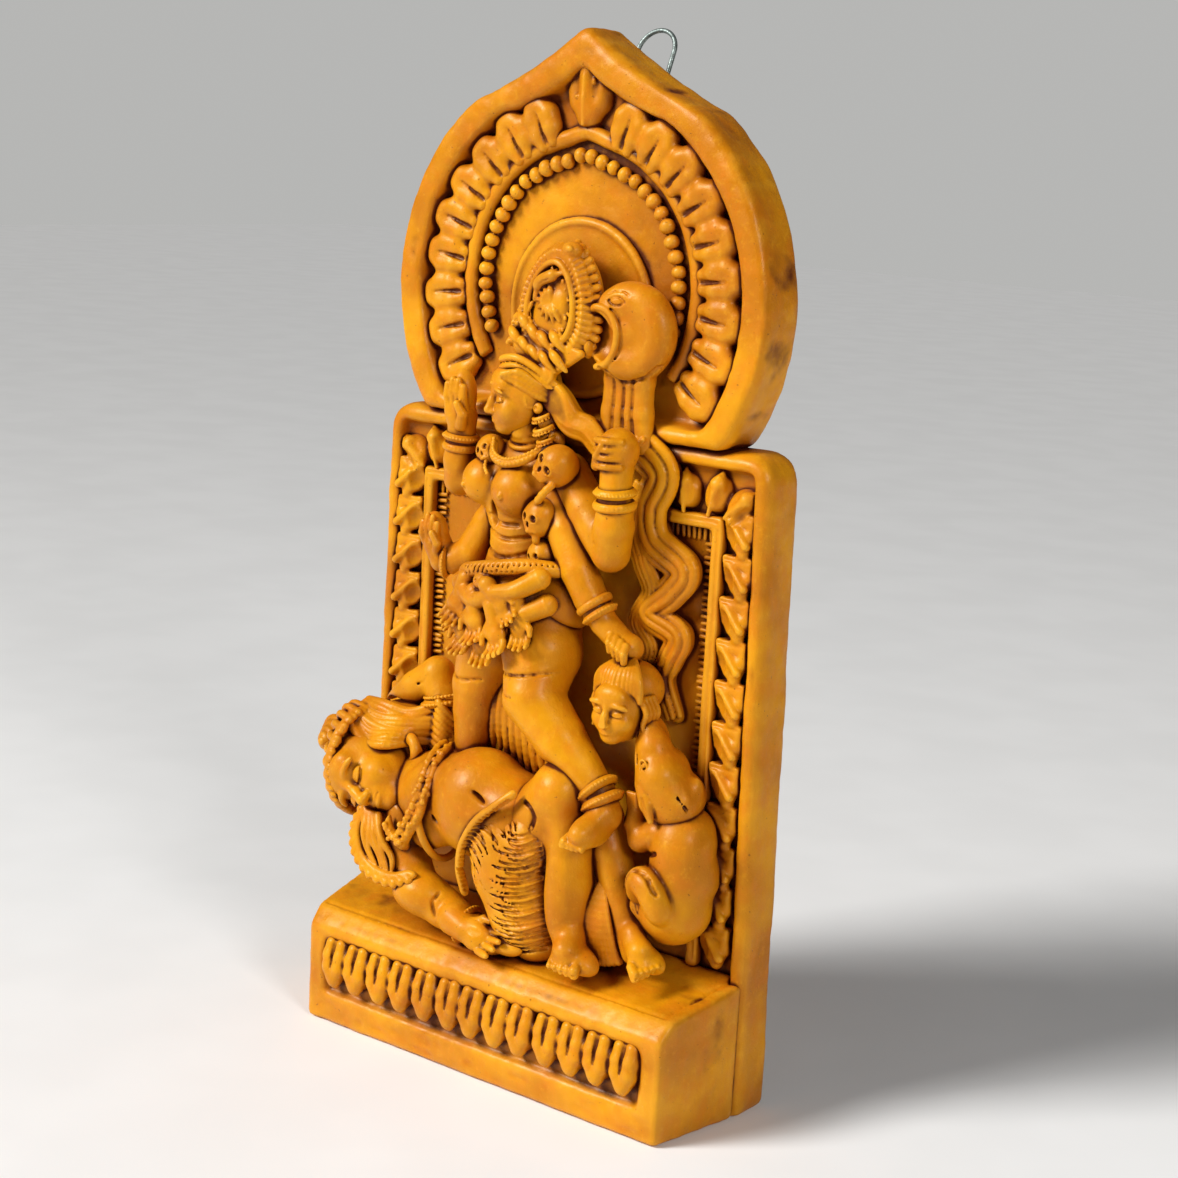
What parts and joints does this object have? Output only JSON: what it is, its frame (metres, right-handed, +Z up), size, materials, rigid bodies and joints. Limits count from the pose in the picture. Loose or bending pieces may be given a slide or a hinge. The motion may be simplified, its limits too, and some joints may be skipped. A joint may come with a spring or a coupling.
{
  "type": "hindu deity statue",
  "caption": "Lacquered clay relief plaque of a four-armed goddess standing on a reclining figure under a leaf-shaped halo, with a wire loop behind.",
  "frame": {"origin": "middle of the plaque's flat back, on the plane it rests on", "axes": "+Z up, +X to the viewer's right, -Y out of the relief towards the viewer"},
  "size_m": [0.1636, 0.0697, 0.3293],
  "materials": {
    "lacquered_clay": "glossy amber lacquer over fired clay",
    "hanger_wire": "dull grey-green drawn wire"
  },
  "bodies": {
    "plaque": {"back_slab": "lacquered_clay", "halo_slab": "lacquered_clay", "plinth": "lacquered_clay", "inner_frame": "lacquered_clay", "comb_edging": "lacquered_clay", "border_leaves_left": "lacquered_clay", "border_leaves_right": "lacquered_clay", "plinth_petal_frieze": "lacquered_clay", "halo_cord": "lacquered_clay", "halo_petals": "lacquered_clay", "nimbus_disc": "lacquered_clay", "halo_beads": "lacquered_clay", "hanger_lug": "lacquered_clay", "reclining_torso": "lacquered_clay", "reclining_head": "lacquered_clay", "reclining_hair": "lacquered_clay", "reclining_raised_arm": "lacquered_clay", "reclining_far_leg": "lacquered_clay", "reclining_bent_leg": "lacquered_clay", "tiger_skin": "lacquered_clay", "reclining_front_arm": "lacquered_clay", "goddess_straight_leg": "lacquered_clay", "goddess_bent_leg": "lacquered_clay", "goddess_torso": "lacquered_clay", "skirt_of_hands": "lacquered_clay", "fringe_drape": "lacquered_clay", "goddess_head": "lacquered_clay", "goddess_crown": "lacquered_clay", "long_hair": "lacquered_clay", "ear_ornaments": "lacquered_clay", "head_holding_arm": "lacquered_clay", "sword_arm": "lacquered_clay", "raised_palm_arm": "lacquered_clay", "lower_palm_arm": "lacquered_clay", "sword": "lacquered_clay", "skull_garland": "lacquered_clay", "bead_necklace": "lacquered_clay", "bangles": "lacquered_clay", "anklets": "lacquered_clay", "severed_head": "lacquered_clay", "jackal_body": "lacquered_clay", "jackal_head": "lacquered_clay", "jackal_tail": "lacquered_clay", "heel_drape": "lacquered_clay", "prayer_beads": "lacquered_clay", "armlets": "lacquered_clay", "ear_ring": "lacquered_clay"},
    "hanger": {"wire_hanger": "hanger_wire"}
  },
  "joints": [
    {"name": "hanger_swing", "type": "hinge", "parent": "plaque", "child": "hanger", "pos_m": [0.003, 0.0042, 0.297], "axis": [-1, 0, 0], "range_deg": [-22, 148]}
  ]
}
